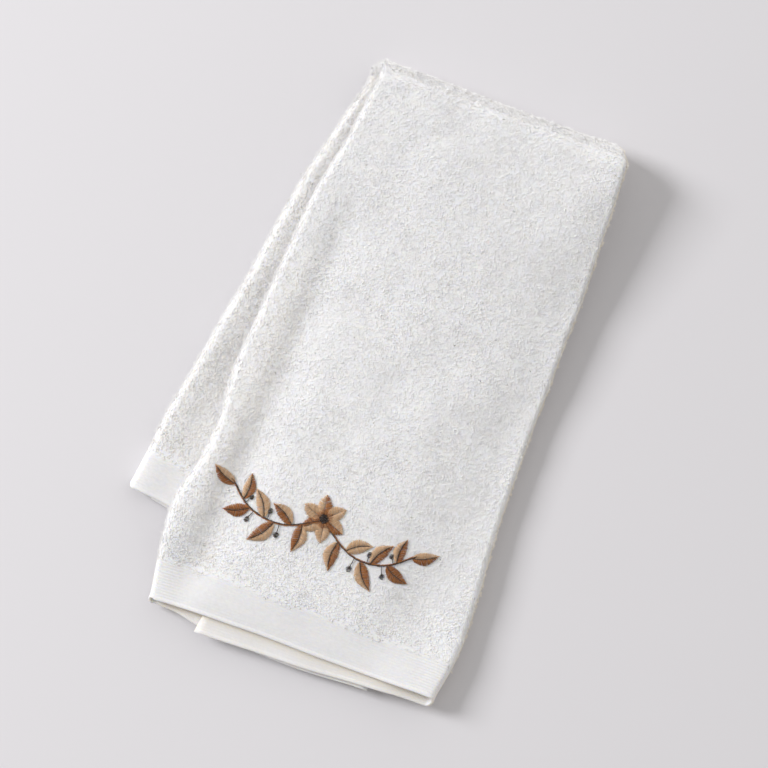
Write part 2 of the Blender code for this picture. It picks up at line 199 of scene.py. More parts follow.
def across(part, f, width, left, right, left_roll, right_roll, left_share, left_top, right_fade, pitch, upper):
    """Across the folded strip, for a fraction f of one part of the cloth: its place, its height over the
    lowest layer, and its reach in from the left and from the right roll."""
    left_axis = left + THICKNESS / 2 + left_roll
    right_axis = right - THICKNESS / 2 - right_roll
    flaps = width - (right_axis - left_axis) - math.pi * (left_roll + right_roll)
    left_flap, right_flap = flaps * left_share, flaps * (1 - left_share)
    left_edge, right_edge = left_axis + left_flap, right_axis - right_flap

    def over_left_flap(x):
        return 1 - ease((x - left_edge - EDGE_CLEAR) / FLAP_RAMP)

    def over_right_flap(x):
        return ease((x - right_edge + EDGE_CLEAR + EDGE_RAMP) / EDGE_RAMP)

    def near_left_roll(x):
        return 1 - ease((x - left_axis - left_top) / ROLL_FADE)

    def near_right_roll(x):
        return 1 - ease((right_axis - x) / right_fade)

    if upper:  # left flap lowest, right flap on it, panel on top

        def left_height(x):
            return 0.0 * x

        def right_height(x):
            return pitch * over_left_flap(x)

        def panel_height(x):
            here = over_right_flap(x)
            plain = right_height(x) + pitch * here + (BARE_GAP - pitch) * (1 - here)
            high = plain + (2 * left_roll - plain) * near_left_roll(x)
            return high + (right_height(x) + 2 * right_roll - plain) * near_right_roll(x)

    else:  # panel lowest, right flap on it, left flap on top

        def panel_height(x):
            return 0.0 * x

        def right_height(x):
            return pitch + (2 * right_roll - pitch) * near_right_roll(x)

        def left_height(x):
            here = over_right_flap(x)
            plain = (right_height(x) + pitch) * here + LOWER_BARE_GAP * (1 - here)
            return plain + (2 * left_roll - plain) * near_left_roll(x)

    x = np.select(
        [part == 0, part == 1, part == 2, part == 3],
        [
            left_axis + (1 - f) * left_flap,
            left_axis - left_roll * np.sin(math.pi * f),
            left_axis + f * (right_axis - left_axis),
            right_axis + right_roll * np.sin(math.pi * f),
        ],
        right_axis - f * right_flap,
    )
    turned = np.cos(math.pi * f)
    side = 1 if upper else -1
    high = np.select(
        [part == 0, part == 1, part == 2, part == 3],
        [
            left_height(x),
            left_roll * (1 - side * turned),
            panel_height(x),
            (right_height(right_axis) if upper else 0.0) + right_roll * (1 + side * turned),
        ],
        right_height(x),
    )
    return x, high, np.maximum(x - left_axis, 0.0), np.maximum(right_axis - x, 0.0)


def hem_line(rows, part, f, from_left, from_right):
    """How far this thread's end lies past the even line of its layer's hem."""

    def at(name, reach):
        return column(HEM_COLUMNS, rows, name, reach)

    left_flap, right_flap = at("left_flap", from_left), at("right_flap", from_right)
    panel = at("panel_left", from_left) + at("panel_right", from_right)
    return np.select(
        [part == 0, part == 1, part == 2, part == 3],
        [left_flap, left_flap + (panel - left_flap) * f, panel, panel + (right_flap - panel) * f],
        right_flap,
    )


def upper_half(part, f, g, radius, sizes):
    """g runs from the hem, 0, to the crosswise fold, 1."""
    straight = TURN_AT - math.pi / 2 * (TURN_RADIUS + 2 * PITCH)
    _, _, from_left, from_right = sizes
    past = math.pi / 2 * (TURN_RADIUS + 2 * PITCH - radius) + hem_line(UPPER_HEM, part, f, from_left, from_right)
    end = CLOTH_LENGTH - TURN_AT - math.pi / 2 * (TURN_RADIUS + 2 * PITCH)  # of the lower half
    shift = 1 - ease(g / HEM_SHIFT)
    y = TURN_Y - straight * (1 - g) - past * shift
    from_hem = straight * g + past * (1 - shift)
    hem = 1 - ease((from_hem - HEM_BAND) / HEM_BLEND)
    close_up = 1 - ease((y - TURN_Y + straight) / HEM_CLOSE)
    *here, right_lift = (column(FRONT_COLUMNS, FRONT_SECTIONS, name, y) for name in FRONT_COLUMNS[1:])
    x, high, _, _ = across(part, f, cloth_width(from_hem), *here, PITCH + (HEM_PITCH - PITCH) * close_up, True)

    # The lower half's left flap, right edge and hem, which it comes down past.
    along, line_x, line_y = middle_line()
    turn, lower_left, lower_right, left_roll, right_roll, left_share = (
        column(BACK_COLUMNS, BACK_SECTIONS, name, along) for name in BACK_COLUMNS[1:]
    )
    turned = np.radians(turn)

    def line_at(reach):
        edge_x, edge_y = line_x + reach * np.cos(turned), line_y - reach * np.sin(turned)
        return np.interp(y, edge_y[::-1], edge_x[::-1])

    lower_axis = left_roll + THICKNESS / 2 - lower_left
    flaps = cloth_width(end - along) - (lower_right - THICKNESS / 2 - right_roll - lower_axis)
    flaps = flaps - math.pi * (left_roll + right_roll)
    flap_from = line_at(lower_axis + flaps * left_share) + EDGE_CLEAR
    drop_from = line_at(lower_right) + DROP_RIGHT_START - DROP_RIGHT_EARLY * ease((y - 0.03) / 0.06)
    right_axis = here[1] - THICKNESS / 2 - here[3]
    past_flap = ease((x - flap_from) / DROP_FLAP_RAMP)
    dropped = ease((x - drop_from) / (right_axis - drop_from))
    end_x, end_y, end_turn = (np.interp(end, along, line) for line in (line_x, line_y, turned))
    slope = math.tan(end_turn)
    down_from = end_y - (DROP_HEM_AT - end_x) * slope - (x - DROP_HEM_AT) * slope * DROP_HEM_SLANT
    over_hem = 1 - DROP_HEM_SHARE * ease((down_from - DROP_HEM_START - y) / DROP_HEM_LENGTH)

    close = ease((TURN_Y - y) / SETTLE)
    lift = 2 * PITCH + HALVES_PITCH
    turn_lift = 2 * (TURN_RADIUS + PITCH)
    ground = THICKNESS / 2 - (THICKNESS - HEM_THICKNESS) / 2 * hem
    over_lower = (lift - DROP_FLAP * past_flap) * over_hem
    rest = ground + over_lower * (1 - dropped) + right_lift * dropped + (turn_lift - lift) * (1 - close)
    swell = sum(
        height * np.exp(-(((x - at_x) / width) ** 2) - ((y - at_y) / length) ** 2)
        for at_x, at_y, width, length, height in SWELLS
    )
    swell = swell * ease((TURN_Y - y) / 0.03) * ease(from_hem / 0.03)
    return x, y, rest + high + swell * np.minimum(1.0, 0.25 + high / (2 * PITCH)), hem


def crosswise_fold(part, f, g, upper, lower):
    """g runs from the upper half, 0, to the lower half, 1."""
    stack = 2 * PITCH
    angle = math.pi * (0.5 - g)
    blend = 1 - ease(g)
    radius = TURN_RADIUS + blend * upper[1] + (1 - blend) * (stack - lower[1])
    x = blend * upper[0] + (1 - blend) * lower[0]
    pinch_from = FRONT_SECTIONS[0][2] - TURN_PINCH_REACH
    x = x - TURN_PINCH * np.cos(angle) ** 2 * ease((x - pinch_from) / TURN_PINCH_REACH)
    y = TURN_Y + radius * np.cos(angle)
    z = TURN_RADIUS + stack + THICKNESS / 2 + radius * np.sin(angle)
    return x, y, z, 0.0 * x


def lower_half(part, f, g, radius, sizes):
    """g runs from the crosswise fold, 0, to the hem, 1."""
    straight = CLOTH_LENGTH - TURN_AT - math.pi / 2 * (TURN_RADIUS + 2 * PITCH)
    _, _, from_left, from_right = sizes
    past = math.pi / 2 * (TURN_RADIUS + 2 * PITCH - radius) + hem_line(LOWER_HEM, part, f, from_left, from_right)
    shift = ease((g - 1 + HEM_SHIFT) / HEM_SHIFT)
    down = straight * g + past * shift
    hem = 1 - ease((straight * (1 - g) + past * (1 - shift) - HEM_BAND) / HEM_BLEND)
    turn, left, right, left_roll, right_roll, left_share = (
        column(BACK_COLUMNS, BACK_SECTIONS, name, down) for name in BACK_COLUMNS[1:]
    )
    pitch = PITCH + (HEM_PITCH - PITCH) * (1 - ease((straight - down) / HEM_CLOSE))
    width = cloth_width(straight - down)
    x, high, _, _ = across(part, f, width, -left, right, left_roll, right_roll, left_share, 0.0, ROLL_FADE, pitch, False)
    along, line_x, line_y = middle_line()
    turned = np.radians(turn)
    return (
        np.interp(down, along, line_x) + x * np.cos(turned),
        np.interp(down, along, line_y) - x * np.sin(turned),
        THICKNESS / 2 - (THICKNESS - HEM_THICKNESS) / 2 * hem + high,
        hem,
    )


def fold(part, f, stage, g):
    """Folds the cloth. part and f say where across it, from the left flap's free edge to the right flap's;
    stage and g where along it, from the upper hem to the lower. Gives the points and where they are hem."""
    sizes = [column(FRONT_COLUMNS, FRONT_SECTIONS, name, np.full_like(f, TURN_Y)) for name in FRONT_COLUMNS[1:-1]]
    body = CLOTH_WIDTH - DRAWN_IN
    upper = across(part, f, body, *sizes, PITCH, True)
    left, right, *rest = (
        column(BACK_COLUMNS, BACK_SECTIONS, name, np.zeros_like(f)) for name in BACK_COLUMNS[2:]
    )
    lower = across(part, f, body, BACK_START_X - left, BACK_START_X + right, *rest, 0.0, ROLL_FADE, PITCH, False)
    radius = TURN_RADIUS + 0.5 * (upper[1] + 2 * PITCH - lower[1])
    stages = (
        upper_half(part, f, g, radius, upper),
        crosswise_fold(part, f, g, upper, lower),
        lower_half(part, f, g, radius, lower),
    )
    x, y, z, hem = (np.select([stage == 0, stage == 1], [stages[0][i], stages[1][i]], stages[2][i]) for i in range(4))
    return np.stack([x - OUTLINE_MIDDLE[0], y - OUTLINE_MIDDLE[1], z], axis=-1), hem



# ---------------------------------------------------------------- sizes of the looks

GROUND_HALF = 0.00060  # half the ground cloth's thickness, without its loops
HEM_HALF = 0.00080
BEAD_LENGTH = 0.0026  # the hem is turned in at its very end, which makes a bead
BEAD_HEIGHT = 0.00030
RIB_PITCH = 0.00182
RIB_HEIGHT = 0.00011  # at the rolls; pulled flat elsewhere
PART_WIDTHS = (0.1440, 0.0120, 0.1790, 0.0095, 0.1400)  # as flat: flap, roll, panel, roll, flap
STAGE_LENGTHS = (0.3530, 0.0408, 0.3092)  # as flat: upper half, crosswise fold, lower half

YARN = 0.00029  # radius of a loop's yarn
FUZZ = 0.00021  # radius of a loose strand
SOFT_SIDES = 0.14  # how far the fuzzy yarns face aside at their edges
TUFT_TILT = 0.095
STEEP_LIFT = 2.6  # how far the yarns of a steep place face up
NAP_LEAN = 0.06  # how far the pile's right half leans left
TIP = 0.00025  # radius of a strand that stands out from a rounded edge
# kind, spacing, how many at most, how many of them on the underside, pieces
PILE = (
    ("loops", 0.00138, 32000, 3500, 3),
    ("strands", 0.00120, 47000, 0, 2),
    ("fringe", 0.00080, 19500, 0, 1),
)

# Small dents in the pile of the front panel: x, y, radius and depth in millimetres.
DENTS = ((-21.2, 179.6, 6.0, 0.85), (82.2, 102.4, 2.6, 0.32), (47.5, 140.0, 4.2, 0.35), (-69.7, -156.4, 2.8, 0.35))

# The sprig's middle on the front panel, and its threads.
SPRIG_AT = (0.0070, -0.0985)
THREAD = 0.00021
THREAD_PITCH = 0.34  # mm, like the tables below
TAN, RUST, DARK = 0.0, 0.5, 1.0

# Two leafy sprays that meet at a flower. Millimetres about the sprig's middle.
SPRAY_COLUMNS = ("along", "x", "y")
SPRAYS = (
    ((0.0, 0.0, 2.0), (0.33, -22.0, -9.0), (0.67, -45.0, -7.0), (1.0, -63.0, 7.0)),
    ((0.0, 0.0, 2.0), (0.33, 23.0, -12.0), (0.67, 45.0, -11.0), (1.0, 63.0, 2.0)),
)
# spray, place along it, degrees off its direction, length, width, bend, dye of either half
LEAVES = (
    (0, 0.17, 58.0, 18.7, 9.8, 1.6, TAN, RUST),
    (0, 0.26, -52.0, 17.6, 9.2, -1.4, RUST, TAN),
    (0, 0.42, 50.0, 20.4, 10.0, 1.8, TAN, RUST),
    (0, 0.52, -48.0, 18.7, 9.2, -1.8, TAN, TAN),
    (0, 0.68, 46.0, 17.1, 8.7, 1.4, RUST, RUST),
    (0, 0.78, -50.0, 17.1, 8.4, -1.5, TAN, RUST),
    (0, 0.93, 18.0, 17.6, 8.4, 1.2, RUST, TAN),
    (1, 0.19, -56.0, 19.2, 9.8, -1.6, RUST, TAN),
    (1, 0.28, 54.0, 17.6, 9.2, 1.4, TAN, TAN),
    (1, 0.44, -49.0, 19.8, 9.8, -1.8, RUST, TAN),
    (1, 0.54, 50.0, 18.7, 9.2, 1.7, TAN, RUST),
    (1, 0.70, -46.0, 17.1, 8.7, -1.4, RUST, RUST),
    (1, 0.80, 48.0, 16.5, 8.4, 1.4, TAN, RUST),
    (1, 0.94, -14.0, 17.6, 8.4, -1.2, TAN, RUST),
)
# spray, place along it, degrees off its direction, stalk length, radius
BERRIES = (
    (0, 0.37, 85.0, 6.5, 1.9),
    (0, 0.485, -86.0, 4.6, 1.8),
    (0, 0.63, 85.0, 6.0, 1.7),
    (0, 0.745, -86.0, 4.2, 1.6),
    (1, 0.38, -85.0, 6.8, 1.9),
    (1, 0.505, 86.0, 4.6, 1.8),
    (1, 0.65, -85.0, 6.0, 1.7),
    (1, 0.765, 86.0, 4.2, 1.6),
)
PETALS = 6
PETAL_LENGTH = 13.0
PETAL_WIDTH = 9.6
CENTRE = 3.0


# ---------------------------------------------------------------- helpers

def lattice_noise(x, y, cell, seed):
    """Smooth noise from -1 to 1 over the plane, with features about a cell wide."""
    table = np.random.default_rng(seed).uniform(-1.0, 1.0, (256, 256))
    u, v = np.asarray(x, float) / cell + 1000.0, np.asarray(y, float) / cell + 1000.0
    i, j = np.floor(u).astype(int), np.floor(v).astype(int)
    a, b = ease(u - i), ease(v - j)
    i, j = i % 256, j % 256
    i2, j2 = (i + 1) % 256, (j + 1) % 256
    low = table[i, j] * (1 - a) + table[i2, j] * a
    high = table[i, j2] * (1 - a) + table[i2, j2] * a
    return low * (1 - b) + high * b


def unit(v):
    return v / np.maximum(np.linalg.norm(v, axis=-1, keepdims=True), 1e-12)


def new_piece(name, points, quads, triangles=None, smooth=True):
    """A mesh object from arrays of points, four-sided faces and three-sided ones."""
    quads = np.asarray(quads, np.int32).reshape(-1, 4)
    triangles = np.zeros((0, 3), np.int32) if triangles is None else np.asarray(triangles, np.int32).reshape(-1, 3)
    mesh = bpy.data.meshes.new(name)
    mesh.vertices.add(len(points))
    mesh.vertices.foreach_set("co", np.asarray(points, np.float32).ravel())
    corners = np.concatenate([quads.ravel(), triangles.ravel()])
    sizes = np.concatenate([np.full(len(quads), 4), np.full(len(triangles), 3)]).astype(np.int32)
    starts = np.concatenate([[0], np.cumsum(sizes)[:-1]]).astype(np.int32)
    mesh.loops.add(len(corners))
    mesh.loops.foreach_set("vertex_index", corners)
    mesh.polygons.add(len(sizes))
    mesh.polygons.foreach_set("loop_start", starts)
    mesh.polygons.foreach_set("loop_total", sizes)
    mesh.update(calc_edges=True)
    mesh.polygons.foreach_set("use_smooth", np.full(len(sizes), smooth))
    piece = bpy.data.objects.new(name, mesh)
    bpy.context.scene.collection.objects.link(piece)
    return piece


def store(piece, name, values):
    """Keeps one number for each point of a piece, which its material reads."""
    attribute = piece.data.attributes.new(name, "FLOAT", "POINT")
    attribute.data.foreach_set("value", np.asarray(values, np.float32))


# ---------------------------------------------------------------- the cloth

def cloth_columns():
    """Lines across the cloth: metres from the left flap's free edge, the part and the fraction of it."""
    where, parts, fractions, start = [], [], [], 0.0
    for part, (width, cells) in enumerate(zip(PART_WIDTHS, (30, 10, 42, 10, 30))):
        k = np.arange(cells) / cells
        where.append(start + width * k)
        parts.append(np.full(cells, part))
        fractions.append(k)
        start += width
    return np.append(np.concatenate(where), start), np.append(np.concatenate(parts), 4), np.append(np.concatenate(fractions), 1.0)


def cloth_rows():
    """Lines along the cloth: metres from the upper hem, the stage and the fraction of it."""
    upper, turn, lower = STAGE_LENGTHS
    whole = sum(STAGE_LENGTHS)
    hem_end = HEM_BAND + HEM_BLEND
    where = np.concatenate(
        [
            np.linspace(0.0, 0.003, 9)[:-1],
            np.linspace(0.003, hem_end, 54)[:-1],
            np.linspace(hem_end, upper, 78)[:-1],
            np.linspace(upper, upper + turn, 15)[:-1],
            np.linspace(upper + turn, whole - hem_end, 62)[:-1],
            np.linspace(whole - hem_end, whole, 46),
        ]
    )
    stage = np.where(where < upper, 0, np.where(where < upper + turn, 1, 2))
    start = np.array([0.0, upper, upper + turn])[stage]
    fraction = np.clip((where - start) / np.array(STAGE_LENGTHS)[stage], 0.0, 1.0)
    return where, stage, fraction


def uneven(points, s, t):
    """Soft irregularities that all the layers at one place share, so that none runs into another."""
    x, y, z = points[..., 0], points[..., 1], points[..., 2]
    free = ease(z / 0.009)
    up = 0.00055 * lattice_noise(x, y, 0.021, 3) + 0.00045 * lattice_noise(x, y, 0.044, 4)
    side = 0.00075 * lattice_noise(x, y, 0.034, 5)
    down = 0.00050 * lattice_noise(x, y, 0.030, 6)
    return points + np.stack([side, down, up * free], axis=-1)


def make_cloth():
    s, part, f = cloth_columns()
    t, stage, g = cloth_rows()
    shape = (len(t), len(s))
    parts = np.broadcast_to(part, shape).ravel()
    fractions = np.broadcast_to(f, shape).ravel()
    stages = np.broadcast_to(stage[:, None], shape).ravel()
    along = np.broadcast_to(g[:, None], shape).ravel()
    middle, _ = fold(parts, fractions, stages, along)
    middle = middle.reshape(*shape, 3)
    grid_s, grid_t = np.broadcast_to(s, shape), np.broadcast_to(t[:, None], shape)
    middle = uneven(middle, grid_s, grid_t)
    du = np.gradient(middle, axis=1)
    dv = np.gradient(middle, axis=0)
    normal = unit(np.cross(du, dv))

    whole = sum(STAGE_LENGTHS)
    from_hem = np.minimum(grid_t, whole - grid_t)
    hem = 1 - ease((from_hem - HEM_BAND) / HEM_BLEND)
    at_roll = np.min([np.abs(grid_s - middle_of) for middle_of in (PART_WIDTHS[0] + 0.006, sum(PART_WIDTHS[:3]) + 0.005)], axis=0)
    ribs = np.cos(2 * math.pi * from_hem / RIB_PITCH) * RIB_HEIGHT * (0.22 + 0.78 * (1 - ease((at_roll - 0.006) / 0.022)))
    ribs = ribs * hem * ease((from_hem - 0.002) / 0.0015)
    bead = BEAD_HEIGHT * np.sin(math.pi * np.clip(from_hem / BEAD_LENGTH, 0.0, 1.0)) ** 0.6
    half = GROUND_HALF + (HEM_HALF - GROUND_HALF) * hem + ribs + bead
    half = half * np.where(from_hem < 0.0001, 0.7, 1.0)
    outer = middle + normal * half[..., None]
    inner = middle - normal * half[..., None]
    floor = 0.00003
    outer[..., 2] = np.maximum(outer[..., 2], floor)
    inner[..., 2] = np.maximum(inner[..., 2], floor)

    rows, columns = shape
    index = np.arange(rows * columns).reshape(shape)
    quads = np.stack([index[:-1, :-1], index[:-1, 1:], index[1:, 1:], index[1:, :-1]], axis=-1).reshape(-1, 4)
    under = quads[:, ::-1] + rows * columns
    rim = np.concatenate([index[0, :], index[1:, -1], index[-1, -2::-1], index[-2:0:-1, 0]])
    ahead = np.roll(rim, -1)
    sides = np.stack([rim, rim + rows * columns, ahead + rows * columns, ahead], axis=-1)
    points = np.concatenate([outer.reshape(-1, 3), inner.reshape(-1, 3)])
    cloth = new_piece("cloth", points, np.concatenate([quads, under, sides]))

    flat = cloth.data.uv_layers.new(name="flat")
    corner = np.empty(len(cloth.data.loops), np.int32)
    cloth.data.loops.foreach_get("vertex_index", corner)
    place = np.stack([grid_s.ravel(), grid_t.ravel()], axis=-1)[corner % (rows * columns)]
    flat.data.foreach_set("uv", place.astype(np.float32).ravel())
    store(cloth, "hem", np.tile(hem.ravel(), 2))
    # Painted warm shade: between the layers near the hems, and on the steep right-hand sides that face away from the
    # light, the colour is made creamier. It stands in for the light that the cloth lets through.
    front = middle[0, part == 2]
    beyond = np.interp(middle[..., 0], front[:, 0], front[:, 1]) - middle[..., 1]
    flap = (np.abs(parts - 2) > 1).reshape(shape) | (stages == 2).reshape(shape)
    facing = [normal, -normal]
    # Painted shade: steep sides that face the light are coloured darker, so that they come out no brighter than the
    # top.
    edge = [ease((0.74 - n[..., 2]) / 0.4) * (n[..., 0] < -0.2) * (1 - 0.45 * hem) for n in facing]
    store(cloth, "edge", np.concatenate([e.ravel() for e in edge]))
    right_side = [ease((0.75 - n[..., 2]) / 0.6) * (n[..., 0] > 0.2) for n in facing]
    painted_warm_shade = flap * (from_hem < 0.06) * (0.18 + 0.82 * (1 - ease((beyond + 0.001) / 0.007))) * (middle[..., 1] < -0.15)
    store(cloth, "painted_warm_shade", np.concatenate([np.maximum(painted_warm_shade, r).ravel() for r in right_side]))
    return cloth, s, t, middle, normal, half


cloth, cloth_s, cloth_t, cloth_middle, cloth_normal, cloth_half = make_cloth()
cloth_tree = BVHTree.FromPolygons(
    [v.co for v in cloth.data.vertices], [tuple(p.vertices) for p in cloth.data.polygons]
)


def on_cloth(grid, s, t):
    """A grid's value at places given in flat metres."""
    i = np.clip(np.searchsorted(cloth_t, t) - 1, 0, len(cloth_t) - 2)
    j = np.clip(np.searchsorted(cloth_s, s) - 1, 0, len(cloth_s) - 2)
    a = (t - cloth_t[i]) / (cloth_t[i + 1] - cloth_t[i])
    b = (s - cloth_s[j]) / (cloth_s[j + 1] - cloth_s[j])
    if grid.ndim == 3:
        a, b = a[:, None], b[:, None]
    return (grid[i, j] * (1 - b) + grid[i, j + 1] * b) * (1 - a) + (grid[i + 1, j] * (1 - b) + grid[i + 1, j + 1] * b) * a


# ---------------------------------------------------------------- the pile

def open_share(side):
    """For a coarse grid on one face of the cloth, the share of directions in which nothing covers it."""
    rows = np.unique(np.concatenate([np.arange(0, len(cloth_t), 3), [len(cloth_t) - 1]]))
    rows = rows[(cloth_t[rows] > 0.012) & (cloth_t[rows] < sum(STAGE_LENGTHS) - 0.012)]
    columns = np.unique(np.concatenate([np.arange(0, len(cloth_s), 2), [len(cloth_s) - 1]]))
    share = np.zeros((len(rows), len(columns)))
    for a, i in enumerate(rows):
        for b, j in enumerate(columns):
            n = cloth_normal[i, j] * side
            start = cloth_middle[i, j] + n * (cloth_half[i, j] + 0.0006)
            e = unit(np.cross(n, (0.3, 0.9, 0.2)))
            h = np.cross(n, e)
            clear = 0
            for out, spin in ((0.0, 0.0), (0.8, 0.0), (0.8, 1.57), (0.8, 3.14), (0.8, 4.71), (1.25, 0.7), (1.25, 3.9)):
                way = n * math.cos(out) + (e * math.cos(spin) + h * math.sin(spin)) * math.sin(out)
                clear += cloth_tree.ray_cast(Vector(start), Vector(way), 0.05)[0] is None
            share[a, b] = clear / 7
    return cloth_s[columns], cloth_t[rows], share


def coarse(grid, s, t):
    at_s, at_t, values = grid
    i = np.clip(np.searchsorted(at_t, t) - 1, 0, len(at_t) - 2)
    j = np.clip(np.searchsorted(at_s, s) - 1, 0, len(at_s) - 2)
    a = np.clip((t - at_t[i]) / (at_t[i + 1] - at_t[i]), 0.0, 1.0)
    b = np.clip((s - at_s[j]) / (at_s[j + 1] - at_s[j]), 0.0, 1.0)
    return (values[i, j] * (1 - b) + values[i, j + 1] * b) * (1 - a) + (values[i + 1, j] * (1 - b) + values[i + 1, j + 1] * b) * a


def scattered(step, side, seed, openness):
    """Places for loops on one face: a shaken grid over the whole cloth, kept where the face is open."""
    rng = np.random.default_rng(seed)
    width, length = sum(PART_WIDTHS), sum(STAGE_LENGTHS)
    s, t = np.meshgrid(np.arange(step / 2, width, step), np.arange(step / 2, length, step))
    s = s.ravel() + rng.uniform(-0.5, 0.5, s.size) * step
    t = t.ravel() + rng.uniform(-0.5, 0.5, t.size) * step
    s, t = np.clip(s, 0.0004, width - 0.0004), np.clip(t, 0.0004, length - 0.0004)
    edge = HEM_BAND + 0.0012 + 0.0022 * lattice_noise(s, t, 0.0075, 11) + 0.0012 * lattice_noise(s, t, 0.0030, 12)
    past = (np.minimum(t, length - t) - edge) / 0.008
    keep = (rng.random(s.size) < 0.15 + past) & (past > 0) & (coarse(openness, s, t) > 0.12)
    s, t = s[keep], t[keep]
    normal = unit(on_cloth(cloth_normal, s, t)) * side
    root = on_cloth(cloth_middle, s, t) + normal * on_cloth(cloth_half, s, t)[:, None]
    return s, t, root, normal


def make_pile(covered):
    """The yarn loops: short arches of yarn that curl and lean, on every open face of the cloth but the hem bands."""
    rng = np.random.default_rng(41)
    openness = {side: open_share(side) for side in (1, -1)}
    pieces = []
    for name, step, most, on_underside, pieces_of in PILE:
        found = []
        for side in (1, -1):
            for grid, below in ((step, False), (0.0026, True)):
                s, t, root, normal = scattered(grid, side, 60 + side + 10 * below + len(name), openness[side])
                facing_down = normal[:, 2] < -0.45
                keep = facing_down if below else ~facing_down
                if name == "fringe":
                    keep &= np.abs(normal[:, 2]) < 0.86
                elif name == "loops":
                    keep &= rng.random(s.size) > 0.65 * ease((0.80 - np.abs(normal[:, 2])) / 0.3) * (not below)
                found.append([np.full(keep.sum(), float(below)), s[keep], t[keep], root[keep], normal[keep]])
        below, s, t, root, normal = (np.concatenate([group[i] for group in found]) for i in range(5))
        order = rng.random(len(s))
        chosen = np.zeros(len(s), bool)
        for flag, count in ((0.0, most - on_underside), (1.0, on_underside)):
            of_kind = np.flatnonzero(below == flag)
            print(name, "found", flag, len(of_kind))
            chosen[of_kind[np.argsort(order[of_kind])[:count]]] = True
        s, t, root, normal = (v[chosen] for v in (s, t, root, normal))
        pieces += yarns(name, s, t, root, normal, rng, covered, pieces_of)
    return pieces


